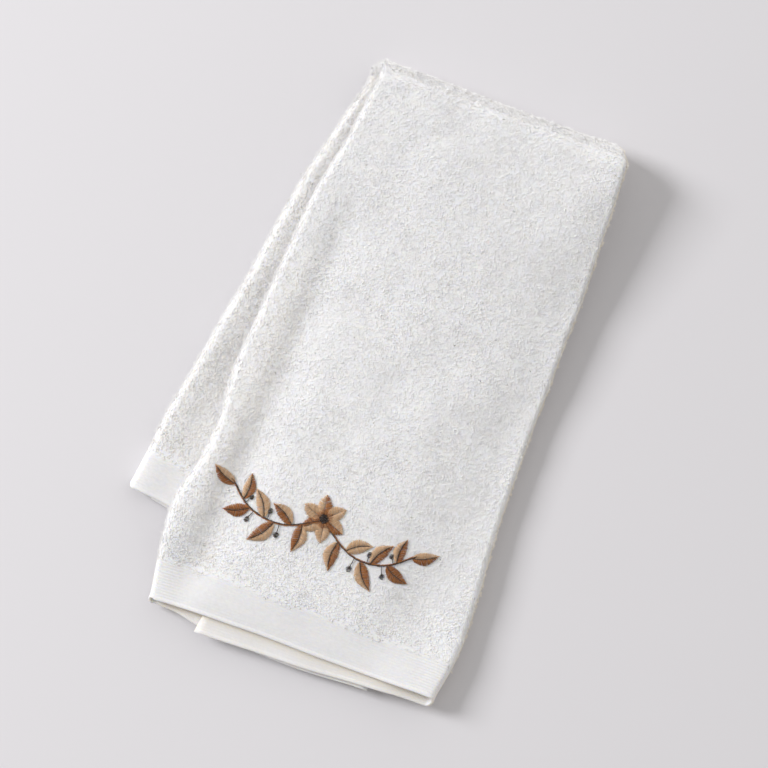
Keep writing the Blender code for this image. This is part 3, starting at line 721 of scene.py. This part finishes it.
def yarns(name, s, t, root, normal, rng, covered, pieces_of):
    count = len(s)

    # The pile lies in soft tufts: neighbours lean alike, and stand higher or lower together.
    lean_turn = math.pi * 1.4 * (lattice_noise(s, t, 0.013, 21) + 0.5 * lattice_noise(s, t, 0.006, 22))
    tuft = 0.5 + 0.40 * lattice_noise(s, t, 0.0060, 23) + 0.50 * lattice_noise(s, t, 0.0026, 24)
    tuft = np.clip(tuft, 0.0, 1.2)
    e1 = unit(np.cross(normal, np.where(np.abs(normal[:, 1:2]) < 0.9, (0.0, 1.0, 0.0), (1.0, 0.0, 0.0))))
    e2 = np.cross(normal, e1)
    lean = e1 * np.cos(lean_turn)[:, None] + e2 * np.sin(lean_turn)[:, None]
    turn = lean_turn + rng.normal(0.0, 1.3, count)
    ahead = e1 * np.cos(turn)[:, None] + e2 * np.sin(turn)[:, None]
    aside = np.cross(normal, ahead)

    # On the rounded edges more of them stand out.
    rounded = ease((0.75 - np.abs(normal[:, 2])) / 0.4)
    if name == "fringe":
        length = rng.uniform(0.0001, 0.0010, count)
        bend = np.zeros(count)
        height = rng.uniform(0.0005, 0.0014, count) * (0.55 + 0.45 * rounded) * np.clip(0.75 + 1.15 * lattice_noise(s, t, 0.0023, 35), 0.15, 1.9)
        over = rng.uniform(0.0, 0.0004, count)
        radius = TIP * rng.uniform(0.75, 1.25, count)
        wave = np.zeros(count)
        stations = np.array([0.0, 0.5, 1.0])
        arch = np.array([0.0, 0.55, 1.0])
        slack = np.broadcast_to(arch, (count, 3)).copy()
        end = np.array([1.0, 0.0, 0.0])
    elif name == "loops":
        standing = rng.random(count) < 0.05 + 0.30 * rounded
        length = np.where(standing, rng.uniform(0.0009, 0.0016, count), rng.uniform(0.0012, 0.0025, count))
        bend = np.where(standing, 0.0, rng.normal(0.0, 0.0008, count))
        height = np.where(standing, rng.uniform(0.0004, 0.0008, count) * (1 + 0.9 * rounded), rng.uniform(0.00012, 0.00028, count))
        over = np.where(standing, rng.uniform(0.0002, 0.0008, count), rng.uniform(0.0, 0.0005, count))
        radius = YARN * rng.uniform(0.75, 1.15, count)
        wave = rng.normal(0.0, 0.0004, count)
        stations = np.array([0.0, 0.30, 0.70, 1.0])
        arch = np.array([0.0, 1.0, 1.0, 0.0])
        slack = rng.uniform(0.75, 1.25, (count, 1)) * arch  # one shoulder of an arch is higher
        slack[:, 2] = 2.0 * arch[2] - slack[:, 1]
        end = 1 - arch
    else:
        # A loose strand is rooted at one end, and its tip stands free.
        length = rng.uniform(0.0009, 0.0019, count)
        bend = rng.normal(0.0, 0.0003, count)
        height = rng.uniform(0.00020, 0.00055, count) * (1 + 1.4 * rounded * rng.random(count))
        over = rng.uniform(0.0, 0.0005, count)
        radius = FUZZ * rng.uniform(0.75, 1.2, count)
        wave = np.zeros(count)
        stations = np.array([0.0, 0.5, 1.0])
        arch = np.array([0.0, 0.75, 1.0])
        slack = np.broadcast_to(arch, (count, 3)).copy()
        end = np.array([1.0, 0.0, 0.0])
    height = height * (0.60 + 0.75 * tuft)
    line = (
        root[:, None, :]
        + ahead[:, None, :] * (length[:, None] * (stations - 0.5))[..., None]
        + aside[:, None, :] * (bend[:, None] * arch + wave[:, None] * np.sin(2 * math.pi * stations))[..., None]
        + normal[:, None, :] * (height[:, None] * slack - 0.0002 * end)[..., None]
        + lean[:, None, :] * (over[:, None] * arch)[..., None]
    )

    # The embroidery presses the pile down, and some yarns lean over its edge.
    under = (normal[:, 2] > 0.5) & covered(root) & (rng.random(count) > 0.04)
    line, radius, normal, tuft, root, s, t, e1, e2 = (v[~under] for v in (line, radius, normal, tuft, root, s, t, e1, e2))
    count = len(line)

    # Each tuft faces a little its own way. Where the cloth is steep its yarns stand out from it and are lit along their length.
    facing = normal + (
        e1 * (TUFT_TILT * lattice_noise(s, t, 0.0024, 31) + TUFT_TILT * lattice_noise(s, t, 0.0050, 33))[:, None]
        + e2 * (TUFT_TILT * lattice_noise(s, t, 0.0024, 32) + TUFT_TILT * lattice_noise(s, t, 0.0050, 34))[:, None]
    )
    steep = ease((0.80 - np.abs(normal[:, 2])) / 0.6)
    facing[:, 2] += STEEP_LIFT * steep
    facing[:, 0] -= NAP_LEAN * ease((root[:, 0] - 0.02) / 0.07)
    for x, y, wide, depth in DENTS:
        off = (root[:, :2] - np.array([x, y]) * 0.001) / (wide * 0.001)
        facing[:, :2] -= 2 * depth / wide * off * (np.exp(-(off**2).sum(axis=1)) * (normal[:, 2] > 0.5))[:, None]
    points, quads, triangles, faces = tubes(line, radius, unit(facing), -math.pi / 2, SOFT_SIDES)
    points[:, 2] = np.maximum(points[:, 2], 0.00002)
    each = 2 + 3 * (line.shape[1] - 2)
    tone = np.repeat(rng.random(count), each)
    # Painted shade: each yarn is given a darker, warmer colour at its roots, and more so in low tufts.
    painted_depth_shade = np.ones(each)
    painted_depth_shade[0] = 0.0
    painted_depth_shade[-1] = 0.0 if name == "loops" else 1.0
    painted_depth_shade = np.tile(painted_depth_shade, count) * np.repeat(0.55 + 0.45 * np.clip(tuft, 0, 1), each)
    # Painted warm shade: steep sides that face away from the light, the trough beside the left roll and the lower
    # half's left strip are tinted creamy. The tint stands in for light that the cloth lets through.
    painted_warm_shade = ease((0.75 - normal[:, 2]) / 0.6) * (normal[:, 0] > 0.2)
    trough = np.exp(-(((root[:, 0] + 0.062) / 0.013) ** 2)) * ease((root[:, 1] + 0.14) / 0.03) * (1 - ease((root[:, 1] - 0.01) / 0.08))
    left_strip = (root[:, 0] < -0.045) & (root[:, 2] < 0.0165)  # of the lower half
    painted_hollow_shade = np.where(left_strip, 0.30, 0.34 * trough) * (normal[:, 2] > 0.5)
    painted_warm_shade = np.repeat(np.maximum(painted_warm_shade, painted_hollow_shade), each)
    # Painted shade: yarns on steep sides that face the light are coloured darker, so that they come out no brighter
    # than the top.
    edge = ease(((0.90 if name == "fringe" else 0.80) - normal[:, 2]) / 0.3) * (normal[:, 0] < -0.2)
    edge = np.repeat(edge, each)

    # Split by place along the towel, so that each piece is one stretch of it.
    place = np.argsort(np.argsort(root[:, 1]))
    piece_of = np.minimum(place * pieces_of // count, pieces_of - 1)
    pieces = []
    for k in range(pieces_of):
        mine = np.flatnonzero(piece_of == k)
        pick = (mine[:, None] * each + np.arange(each)).ravel()
        moved = (each * (np.arange(len(mine)) - mine))[:, None, None]
        q = quads.reshape(count, -1, 4)[mine] + moved
        r = triangles.reshape(count, -1, 3)[mine] + moved
        piece = new_piece(f"pile_{name}_{k + 1}", points[pick], q, r)
        store(piece, "tone", tone[pick])
        store(piece, "painted_depth_shade", painted_depth_shade[pick])
        store(piece, "painted_warm_shade", painted_warm_shade[pick])
        store(piece, "edge", edge[pick])
        piece.data.normals_split_custom_set_from_vertices(faces[pick])
        pieces.append(piece)
    return pieces


def tubes(line, radius, up, first=math.pi / 2, roundness=1.0):
    """Three-sided yarns along lines of points, closed to a point at both ends, and how each point faces."""
    count, stations = line.shape[:2]
    along = unit(np.gradient(line, axis=1))
    side = unit(np.cross(along, np.broadcast_to(up[:, None, :], along.shape)))
    above = np.cross(side, along)
    ring, faces = [], []
    for k in range(3):
        a = first + k * 2 * math.pi / 3
        ring.append(line + (side * math.cos(a) + above * math.sin(a)) * radius[:, None, None])
        faces.append(unit(side * math.cos(a) * roundness + (0.4 * above + 0.6 * up[:, None, :]) * (1.0 if math.sin(a) > 0 else -1.0)))
    ring = np.stack(ring, axis=2)[:, 1:-1].reshape(count, -1, 3)
    faces = np.stack(faces, axis=2)[:, 1:-1].reshape(count, -1, 3)
    points = np.concatenate([line[:, :1], ring, line[:, -1:]], axis=1).reshape(-1, 3)
    faces = np.concatenate([up[:, None, :], faces, up[:, None, :]], axis=1).reshape(-1, 3)
    each = 2 + 3 * (stations - 2)
    quads, triangles = [], []
    for k in range(3):
        n = (k + 1) % 3
        triangles += [(0, 1 + k, 1 + n), (each - 1, each - 4 + n, each - 4 + k)]
        for row in range(1, each - 4, 3):
            quads.append((row + k, row + 3 + k, row + 3 + n, row + n))
    base = (np.arange(count) * each)[:, None, None]
    quads = np.array(quads, int).reshape(-1, 4)
    return points, (quads[None] + base).reshape(-1, 4), (np.array(triangles)[None] + base).reshape(-1, 3), faces


# ---------------------------------------------------------------- the embroidery

def spray_at(spray, along):
    return np.stack([column(SPRAY_COLUMNS, SPRAYS[spray], name, along) for name in ("x", "y")], axis=-1)


def turned(way, degrees):
    a = math.radians(degrees)
    return np.array([way[0] * math.cos(a) - way[1] * math.sin(a), way[0] * math.sin(a) + way[1] * math.cos(a)])


def satin_leaf(start, way, length, width, bend, dyes, vein, roundness=0.9):
    """Satin stitches from a leaf's middle line out to its two edges, and a vein over them."""
    across = np.array([-way[1], way[0]])

    def spine(s):
        return start + way * length * s[:, None] + across * (bend * np.sin(math.pi * np.clip(s, 0, 1)))[:, None]

    def half(s):
        return width / 2 * np.sin(math.pi * np.clip(s, 0.0, 1.0) ** 0.85) ** roundness

    s = np.arange(0.02, 0.99, THREAD_PITCH / length)
    edge = np.clip(s + 1.3 / length, 0.0, 0.995)
    found = []
    for side, dye in zip((1, -1), dyes):
        out = spine(edge) + across * (side * half(edge))[:, None]
        found.append((spine(s) - across * side * 0.12, out, dye, 0.00030, THREAD))
    if vein:
        s = np.arange(0.0, 0.84, 1.5 / length)
        found.append((spine(s), spine(s + 2.3 / length), DARK, 0.00062, THREAD * 1.25))
    return found


def disc(x, y, radius, dye, rise):
    y_at = np.arange(-radius + 0.15, radius, THREAD_PITCH)
    reach = np.sqrt(np.maximum(radius**2 - y_at**2, 0.01))
    tilt = 0.35
    start = np.stack([x - reach, y + y_at - tilt * 0.4], axis=-1)
    stop = np.stack([x + reach, y + y_at + tilt * 0.4], axis=-1)
    return [(start, stop, dye, rise, THREAD)]


def sprig_stitches():
    """Stitches as arrays of their two ends, dye, rise over the cloth and radius."""
    found = []
    for spray in (0, 1):
        s = np.arange(0.03, 0.97, 0.95 / 70.0)
        here, ahead = spray_at(spray, s), spray_at(spray, np.minimum(s + 3.0 / 70.0, 1.0))
        way = unit(ahead - here)
        across = np.stack([-way[:, 1], way[:, 0]], axis=-1)
        found.append((here - across * 0.42, ahead + across * 0.42, DARK, 0.00036, THREAD * 1.35))
        found.append((here - across * 0.05, ahead + across * 0.75, RUST, 0.00030, THREAD * 1.2))
    for spray, along, angle, length, width, bend, one, other in LEAVES:
        start = spray_at(spray, np.array([along]))[0]
        way = unit(spray_at(spray, np.array([min(along + 0.03, 1.0)]))[0] - spray_at(spray, np.array([along - 0.03]))[0])
        found += satin_leaf(start, turned(way, angle), length, width, bend, (one, other), True)
    for spray, along, angle, length, radius in BERRIES:
        start = spray_at(spray, np.array([along]))[0]
        way = turned(unit(spray_at(spray, np.array([along + 0.03]))[0] - spray_at(spray, np.array([along - 0.03]))[0]), angle)
        steps = np.arange(0.0, length - 1.0, 0.9)[:, None]
        found.append((start + way * steps, start + way * (steps + 1.9), DARK, 0.00034, THREAD * 1.2))
        found += disc(*(start + way * (length + radius * 0.5)), radius, DARK, 0.00045)
    middle = np.array([0.0, 3.0])
    for k in range(PETALS):
        way = turned(np.array([0.0, 1.0]), 360.0 * k / PETALS + 12.0)
        found += satin_leaf(middle + way * 2.0, way, PETAL_LENGTH, PETAL_WIDTH, 0.3, (TAN, TAN if k % 2 else RUST), False, 0.62)
        across = np.array([-way[1], way[0]])
        ray = np.arange(-3, 4) * 9.0
        start = np.stack([middle + turned(way, a) * 2.0 for a in ray])
        stop = np.stack([middle + turned(way, a) * (6.6 - 0.03 * abs(a)) for a in ray])
        found.append((start, stop, RUST, 0.00060, THREAD))
    found += disc(middle[0], middle[1], CENTRE, DARK, 0.00060)
    knots = np.random.default_rng(91).uniform(-CENTRE, CENTRE, (60, 2))
    knots = middle + knots[np.linalg.norm(knots, axis=1) < CENTRE][:30]
    found.append((knots - 0.45, knots + 0.45, DARK, 0.00100, THREAD * 1.7))
    return found


def make_embroidery():
    """The sprig, and a function that says which places it covers."""
    rng = np.random.default_rng(90)
    ends, dyes, rises, radii = [], [], [], []
    for start, stop, dye, rise, radius in sprig_stitches():
        ends.append(np.stack([start, stop], axis=1))
        dyes.append(np.full(len(start), dye))
        rises.append(np.full(len(start), rise))
        radii.append(np.full(len(start), radius))
    ends, dyes, rises, radii = (np.concatenate(v) for v in (ends, dyes, rises, radii))
    ends = ends + rng.normal(0.0, 0.13, ends.shape)
    share = np.array([0.0, 0.12, 0.5, 0.88, 1.0])
    flat = (ends[:, :1] * (1 - share[:, None]) + ends[:, 1:] * share[:, None]) * 0.001 + np.array(SPRIG_AT)
    on_top = np.zeros(flat.shape[:2])
    for i, row in enumerate(flat):
        for j, (x, y) in enumerate(row):
            on_top[i, j] = cloth_tree.ray_cast(Vector((x, y, 0.1)), Vector((0, 0, -1)))[0].z
    arch = np.array([-0.9, 0.62, 1.0, 0.62, -0.9])
    rise = 0.00062 + rises[:, None] * arch + rng.normal(0.0, 0.00004, len(ends))[:, None]
    line = np.concatenate([flat, (on_top + rise)[..., None]], axis=-1)
    up = np.broadcast_to((0.0, 0.0, 1.0), (len(line), 3))
    points, quads, triangles, _ = tubes(line, radii * rng.uniform(0.9, 1.1, len(radii)), up)
    piece = new_piece("embroidery", points, quads, triangles)
    store(piece, "dye", np.repeat(dyes, 11))
    store(piece, "tone", np.repeat(rng.random(len(dyes)), 11))

    cell = 0.0005
    low = flat.reshape(-1, 2).min(axis=0) - 0.004
    size = np.ceil((flat.reshape(-1, 2).max(axis=0) + 0.004 - low) / cell).astype(int)
    taken = np.zeros(size, bool)
    fine = np.linspace(0.0, 1.0, 17)[None, :, None]
    spots = (flat[:, :1] * (1 - fine) + flat[:, -1:] * fine).reshape(-1, 2)
    i, j = ((spots - low) / cell).astype(int).T
    taken[i, j] = True

    def covered(where):
        at = ((where[..., :2] - low) / cell).astype(int)
        inside = ((at >= 0) & (at < size)).all(axis=-1)
        at = np.clip(at, 0, size - 1)
        return inside & taken[at[..., 0], at[..., 1]]

    return piece, covered


# ---------------------------------------------------------------- materials

def shader_of(name):
    material = bpy.data.materials.new(name)
    material.use_nodes = True
    nodes, links = material.node_tree.nodes, material.node_tree.links
    return material, nodes, links, nodes["Principled BSDF"]


def node(nodes, kind, **values):
    made = nodes.new(kind)
    for key, value in values.items():
        setattr(made, key, value)
    return made


def mixed(nodes, links, factor, low, high):
    """A colour that goes from low to high with a factor."""
    mix = node(nodes, "ShaderNodeMix", data_type="RGBA")
    links.new(factor, mix.inputs["Factor"])
    for name, value in (("A", low), ("B", high)):
        socket = [i for i in mix.inputs if i.name == name and i.type == "RGBA"][0]
        if isinstance(value, tuple):
            socket.default_value = (*value, 1.0)
        else:
            links.new(value, socket)
    return [o for o in mix.outputs if o.type == "RGBA"][0]


def pile_material():
    material, nodes, links, shader = shader_of("terry_loops")
    tone = node(nodes, "ShaderNodeAttribute", attribute_name="tone")
    # Painted shade: a darker, warmer colour at the yarns' roots and in low tufts.
    painted_depth_shade = node(nodes, "ShaderNodeAttribute", attribute_name="painted_depth_shade")
    light = mixed(nodes, links, tone.outputs["Fac"], (0.962, 0.956, 0.962), (0.982, 0.976, 0.982))
    colour = mixed(nodes, links, painted_depth_shade.outputs["Fac"], (0.955, 0.940, 0.918), light)
    # Painted warm shade: the yarns' creamy tint in shaded places.
    painted_warm_shade = node(nodes, "ShaderNodeAttribute", attribute_name="painted_warm_shade")
    colour = mixed(nodes, links, painted_warm_shade.outputs["Fac"], colour, (0.950, 0.880, 0.770))
    edge = node(nodes, "ShaderNodeAttribute", attribute_name="edge")  # painted shade: steep places that face the light are coloured darker, so that they come out no brighter than the top
    colour = mixed(nodes, links, edge.outputs["Fac"], colour, (0.745, 0.736, 0.732))
    links.new(colour, shader.inputs["Base Color"])
    where = node(nodes, "ShaderNodeTexCoord")
    twist = node(nodes, "ShaderNodeTexNoise")
    twist.inputs["Scale"].default_value = 2600.0
    twist.inputs["Detail"].default_value = 2.0
    links.new(where.outputs["Object"], twist.inputs["Vector"])
    bump = node(nodes, "ShaderNodeBump")
    bump.inputs["Strength"].default_value = 0.20
    bump.inputs["Distance"].default_value = 0.00006
    links.new(twist.outputs["Fac"], bump.inputs["Height"])
    links.new(bump.outputs["Normal"], shader.inputs["Normal"])
    shader.inputs["Roughness"].default_value = 0.92
    shader.inputs["Specular IOR Level"].default_value = 0.25
    shader.inputs["Sheen Weight"].default_value = 0.10
    shader.inputs["Sheen Roughness"].default_value = 0.5
    return material


def cloth_material():
    material, nodes, links, shader = shader_of("terry_ground_and_hem")
    hem = node(nodes, "ShaderNodeAttribute", attribute_name="hem")
    flat = node(nodes, "ShaderNodeUVMap", uv_map="flat")
    curls = node(nodes, "ShaderNodeTexNoise")
    curls.inputs["Scale"].default_value = 900.0
    curls.inputs["Detail"].default_value = 3.0
    curls.inputs["Distortion"].default_value = 1.2
    links.new(flat.outputs["UV"], curls.inputs["Vector"])
    ground = mixed(nodes, links, curls.outputs["Fac"], (0.875, 0.862, 0.845), (0.965, 0.962, 0.955))
    soft = node(nodes, "ShaderNodeTexNoise")
    soft.inputs["Scale"].default_value = 420.0
    soft.inputs["Detail"].default_value = 3.0
    links.new(flat.outputs["UV"], soft.inputs["Vector"])
    band = mixed(nodes, links, soft.outputs["Fac"], (0.775, 0.768, 0.770), (0.890, 0.883, 0.885))
    colour = mixed(nodes, links, hem.outputs["Fac"], ground, band)
    # Painted warm shade: a creamy tint between the layers and on the shaded right-hand sides.
    painted_warm_shade = node(nodes, "ShaderNodeAttribute", attribute_name="painted_warm_shade")
    colour = mixed(nodes, links, painted_warm_shade.outputs["Fac"], colour, (0.790, 0.737, 0.650))
    # Painted shade: steep sides that face the light are coloured darker.
    edge = node(nodes, "ShaderNodeAttribute", attribute_name="edge")
    colour = mixed(nodes, links, edge.outputs["Fac"], colour, (0.735, 0.726, 0.722))
    links.new(colour, shader.inputs["Base Color"])

    # Threads of the flat weave, crossing at right angles.
    split = node(nodes, "ShaderNodeSeparateXYZ")
    links.new(flat.outputs["UV"], split.inputs["Vector"])
    waves = []
    for axis, pitch in (("X", 0.00048), ("Y", 0.00040)):
        scaled = node(nodes, "ShaderNodeMath", operation="MULTIPLY")
        scaled.inputs[1].default_value = 2 * math.pi / pitch
        links.new(split.outputs[axis], scaled.inputs[0])
        wave = node(nodes, "ShaderNodeMath", operation="SINE")
        links.new(scaled.outputs[0], wave.inputs[0])
        waves.append(wave)
    weave = node(nodes, "ShaderNodeMath", operation="MULTIPLY")
    links.new(waves[0].outputs[0], weave.inputs[0])
    links.new(waves[1].outputs[0], weave.inputs[1])
    heights = node(nodes, "ShaderNodeMix", data_type="FLOAT")
    links.new(hem.outputs["Fac"], heights.inputs["Factor"])
    links.new(curls.outputs["Fac"], heights.inputs["A"])
    links.new(weave.outputs[0], heights.inputs["B"])
    bump = node(nodes, "ShaderNodeBump")
    bump.inputs["Strength"].default_value = 0.5
    bump.inputs["Distance"].default_value = 0.00003
    links.new(heights.outputs["Result"], bump.inputs["Height"])
    links.new(bump.outputs["Normal"], shader.inputs["Normal"])
    shader.inputs["Roughness"].default_value = 0.88
    shader.inputs["Specular IOR Level"].default_value = 0.25
    shader.inputs["Sheen Weight"].default_value = 0.10
    shader.inputs["Sheen Roughness"].default_value = 0.5
    shader.inputs["Subsurface Weight"].default_value = 0.5
    shader.inputs["Subsurface Radius"].default_value = (1.0, 0.85, 0.60)
    shader.inputs["Subsurface Scale"].default_value = 0.0020
    return material


def thread_material():
    material, nodes, links, shader = shader_of("embroidery_thread")
    dye = node(nodes, "ShaderNodeAttribute", attribute_name="dye")
    tone = node(nodes, "ShaderNodeAttribute", attribute_name="tone")
    colours = []
    for dark, light in (((0.62, 0.40, 0.225), (0.80, 0.56, 0.35)), ((0.30, 0.095, 0.018), (0.46, 0.185, 0.045)), ((0.022, 0.012, 0.008), (0.045, 0.026, 0.018))):
        colours.append(mixed(nodes, links, tone.outputs["Fac"], dark, light))
    steps = []
    for limit in (0.25, 0.75):
        over = node(nodes, "ShaderNodeMath", operation="GREATER_THAN")
        over.inputs[1].default_value = limit
        links.new(dye.outputs["Fac"], over.inputs[0])
        steps.append(over.outputs[0])
    colour = mixed(nodes, links, steps[1], mixed(nodes, links, steps[0], colours[0], colours[1]), colours[2])
    links.new(colour, shader.inputs["Base Color"])
    where = node(nodes, "ShaderNodeTexCoord")
    twist = node(nodes, "ShaderNodeTexNoise")
    twist.inputs["Scale"].default_value = 3800.0
    twist.inputs["Detail"].default_value = 1.0
    links.new(where.outputs["Object"], twist.inputs["Vector"])
    bump = node(nodes, "ShaderNodeBump")
    bump.inputs["Strength"].default_value = 0.5
    bump.inputs["Distance"].default_value = 0.00006
    links.new(twist.outputs["Fac"], bump.inputs["Height"])
    links.new(bump.outputs["Normal"], shader.inputs["Normal"])
    shader.inputs["Roughness"].default_value = 0.42
    shader.inputs["Specular IOR Level"].default_value = 0.45
    shader.inputs["Sheen Weight"].default_value = 0.20
    shader.inputs["Sheen Roughness"].default_value = 0.35
    return material


cloth.data.materials.append(cloth_material())
embroidery, covered = make_embroidery()
embroidery.data.materials.append(thread_material())
pile = make_pile(covered)
terry_loops = pile_material()
for piece in pile:
    piece.data.materials.append(terry_loops)

# ---------------------------------------------------------------- the pieces in the frame

for piece in [cloth] + pile:
    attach(piece, "root")
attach(embroidery, "root")
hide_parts("towel")

# ---------------------------------------------------------------- floor, light, camera

def floor_material():
    material, nodes, links, shader = shader_of("pale_floor")
    shader.inputs["Base Color"].default_value = (0.716, 0.703, 0.724, 1.0)
    shader.inputs["Roughness"].default_value = 0.7
    shader.inputs["Specular IOR Level"].default_value = 0.2
    return material


floor = new_piece("floor", [(-3, -3, 0), (3, -3, 0), (3, 3, 0), (-3, 3, 0)], [(0, 1, 2, 3)], smooth=False)
floor.data.materials.append(floor_material())

VIEW_AZIMUTH = math.radians(20.9)
VIEW_ELEVATION = math.radians(86.0)
VIEW_DISTANCE = 1.5
VIEW_WIDTH = 0.634e-3 * 768  # of the frame, at the surface
VIEW_AT = Vector((-OUTLINE_MIDDLE[0], -OUTLINE_MIDDLE[1], 0.0))
right = Vector((math.cos(VIEW_AZIMUTH), math.sin(VIEW_AZIMUTH), 0.0))
back = Vector(
    (
        math.sin(VIEW_AZIMUTH) * math.cos(VIEW_ELEVATION),
        -math.cos(VIEW_AZIMUTH) * math.cos(VIEW_ELEVATION),
        math.sin(VIEW_ELEVATION),
    )
)
up = back.cross(right)

camera_data = bpy.data.cameras.new("camera")
camera_data.sensor_width = 36.0
camera_data.lens = 36.0 * VIEW_DISTANCE / VIEW_WIDTH
camera_data.clip_start = 0.05
camera_data.clip_end = 20.0
camera = bpy.data.objects.new("camera", camera_data)
bpy.context.scene.collection.objects.link(camera)
turn = Matrix((right, up, back)).transposed()
camera.matrix_world = Matrix.Translation(VIEW_AT + back * VIEW_DISTANCE) @ turn.to_4x4()
bpy.context.scene.camera = camera

KEY_FALL = math.radians(25.0)  # across the picture, the light falls this far below level
KEY_ELEVATION = math.radians(31.0)
KEY_DISTANCE = 4.0
level = Vector((right.x, right.y, 0.0)).normalized()
away = Vector((-level.y, level.x, 0.0))
travel = level * math.cos(KEY_FALL) - away * math.sin(KEY_FALL)
key_from = -travel * math.cos(KEY_ELEVATION) + Vector((0, 0, 1)) * math.sin(KEY_ELEVATION)
key_data = bpy.data.lights.new("key", "AREA")
key_data.shape = "SQUARE"
key_data.size = 1.48
key_data.energy = 148.0
key_data.color = (0.985, 0.985, 1.0)
key = bpy.data.objects.new("key", key_data)
bpy.context.scene.collection.objects.link(key)
key.location = VIEW_AT + key_from * KEY_DISTANCE
key.rotation_euler = key_from.to_track_quat("Z", "Y").to_euler()

# The room's own light, stronger from beyond the crosswise fold and from the right.
world = bpy.data.worlds.new("studio")
world.use_nodes = True
nodes, links = world.node_tree.nodes, world.node_tree.links
sky = node(nodes, "ShaderNodeTexCoord")
toward = node(nodes, "ShaderNodeVectorMath", operation="DOT_PRODUCT")
toward.inputs[1].default_value = level * 0.75 + away * 0.66
links.new(sky.outputs["Generated"], toward.inputs[0])
ramp = node(nodes, "ShaderNodeMapRange")
ramp.inputs["From Min"].default_value = -1.0
ramp.inputs["To Min"].default_value = 0.13
ramp.inputs["To Max"].default_value = 1.00
links.new(toward.outputs["Value"], ramp.inputs["Value"])
nodes["Background"].inputs["Color"].default_value = (1.0, 0.985, 0.965, 1.0)
links.new(ramp.outputs["Result"], nodes["Background"].inputs["Strength"])
bpy.context.scene.world = world
bpy.context.scene.cycles.diffuse_bounces = 12  # white cloth passes light on many times
bpy.context.scene.view_settings.view_transform = "Standard"

# ---------------------------------------------------------------- hand over

bpy.context.view_layer.update()
